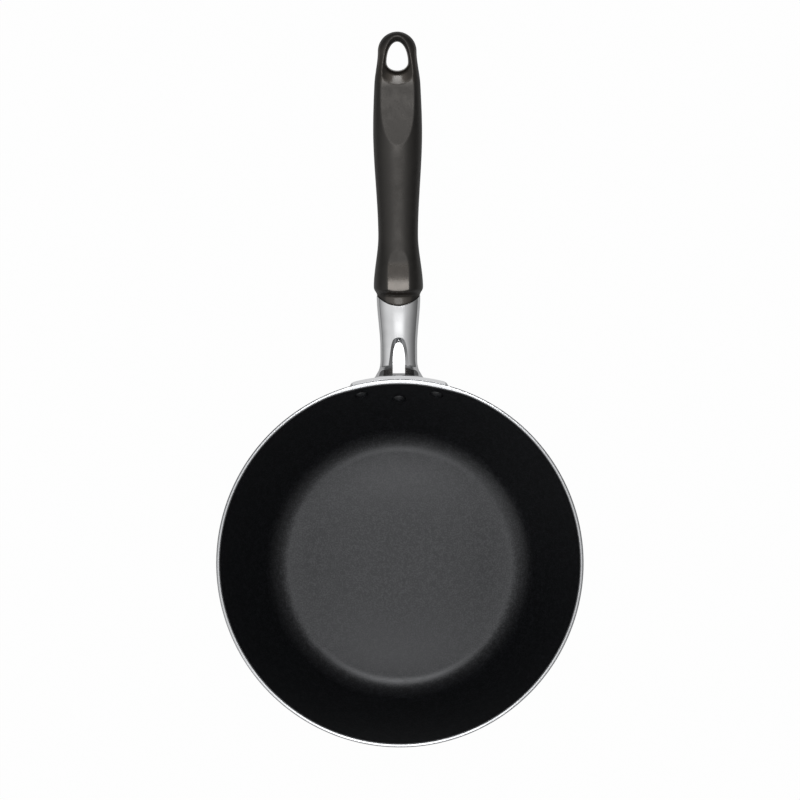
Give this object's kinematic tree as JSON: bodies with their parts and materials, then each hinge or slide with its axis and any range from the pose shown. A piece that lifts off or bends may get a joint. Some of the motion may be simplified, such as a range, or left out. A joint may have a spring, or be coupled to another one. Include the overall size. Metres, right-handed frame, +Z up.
{
  "type": "wok",
  "caption": "Round-bottomed frying wok with a flat base, black non-stick lining, riveted polished handle bracket and a long moulded grip with a hanging eye.",
  "frame": {"origin": "on the bowl's axis, on the surface that the wok stands on", "axes": "+Z up along the bowl's axis, +Y along the handle from the bowl to the hanging eye, +X to the right seen from the bowl"},
  "size_m": [0.24, 0.4619, 0.1192],
  "materials": {
    "bowl_aluminium": "satin with fine turning marks",
    "nonstick": "black satin, finely speckled",
    "rivet_metal": "bare outside, coated black inside",
    "bracket_metal": "polished",
    "grip_plastic": "matte black, finely textured",
    "screw_steel": "zinc plated"
  },
  "bodies": {
    "root": {"bowl": "bowl_aluminium", "nonstick_coating": "nonstick", "rivet_left": "rivet_metal", "rivet_right": "rivet_metal", "rivet_lower": "rivet_metal", "handle_bracket": "bracket_metal", "grip": "grip_plastic", "grip_screw": "screw_steel"}
  },
  "joints": []
}
